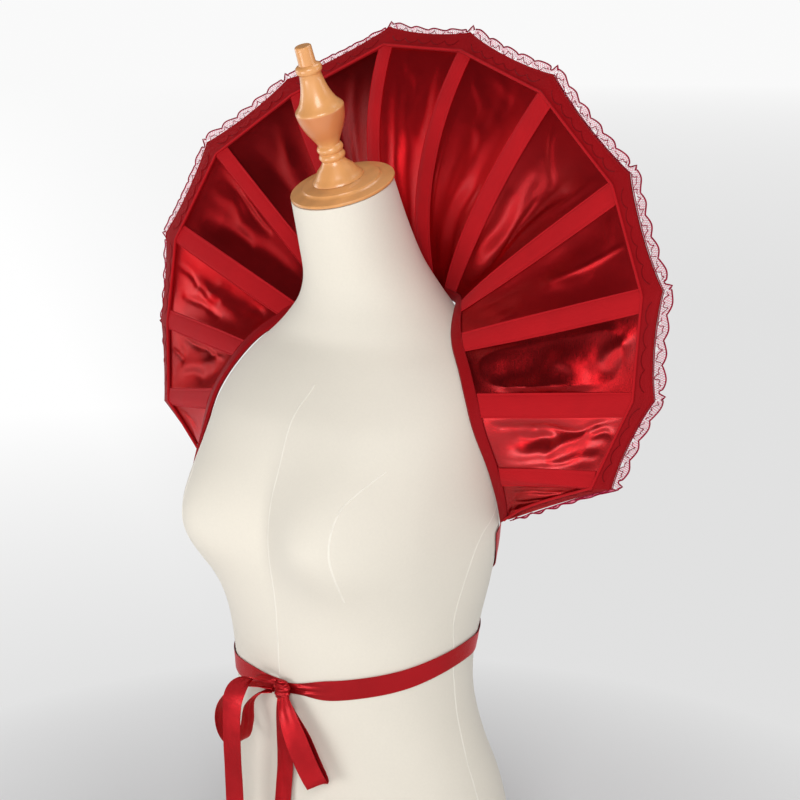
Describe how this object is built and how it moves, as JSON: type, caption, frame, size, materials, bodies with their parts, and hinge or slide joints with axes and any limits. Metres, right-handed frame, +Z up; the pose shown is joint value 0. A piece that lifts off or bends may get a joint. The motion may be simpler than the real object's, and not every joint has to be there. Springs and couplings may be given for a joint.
{
  "type": "high stand collar on a limbless dress form",
  "caption": "Fan-shaped high stand collar of boned satin gores with lace edging and waist ties, standing on a limbless dress form with a turned neck finial.",
  "frame": {"origin": "middle of the dress form's flat foot", "axes": "+Z up the form, -Y the way the form faces, +X the form's left side"},
  "size_m": [0.6414, 0.278, 0.8833],
  "materials": {
    "form_cloth": "matte close-woven cotton",
    "turned_wood": "smooth varnish",
    "satin": "glossy satin",
    "casing_tape": "matte ribbed tape",
    "trim": "matte folded band",
    "lace": "open net lace",
    "ribbon": "satin ribbon"
  },
  "bodies": {
    "root": {"dress_form": "form_cloth", "neck_cap": "turned_wood", "neck_finial": "turned_wood", "gore_01": "satin", "gore_02": "satin", "gore_03": "satin", "gore_04": "satin", "gore_05": "satin", "gore_06": "satin", "gore_07": "satin", "gore_08": "satin", "gore_09": "satin", "gore_10": "satin", "gore_11": "satin", "gore_12": "satin", "gore_13": "satin", "bone_tape_01": "casing_tape", "bone_tape_02": "casing_tape", "bone_tape_03": "casing_tape", "bone_tape_04": "casing_tape", "bone_tape_05": "casing_tape", "bone_tape_06": "casing_tape", "bone_tape_07": "casing_tape", "bone_tape_08": "casing_tape", "bone_tape_09": "casing_tape", "bone_tape_10": "casing_tape", "bone_tape_11": "casing_tape", "bone_tape_12": "casing_tape", "rim_band": "trim", "inner_binding": "trim", "lace_01": "lace", "lace_02": "lace", "lace_03": "lace", "lace_04": "lace", "lace_05": "lace", "lace_06": "lace", "lace_07": "lace", "lace_08": "lace", "lace_09": "lace", "lace_10": "lace", "lace_11": "lace", "lace_12": "lace", "lace_13": "lace", "tie_left": "ribbon", "tie_right": "ribbon", "bow_knot": "ribbon", "bow_loop_right": "ribbon", "bow_loop_left": "ribbon", "bow_tail_right": "ribbon", "bow_tail_left": "ribbon"}
  },
  "joints": []
}
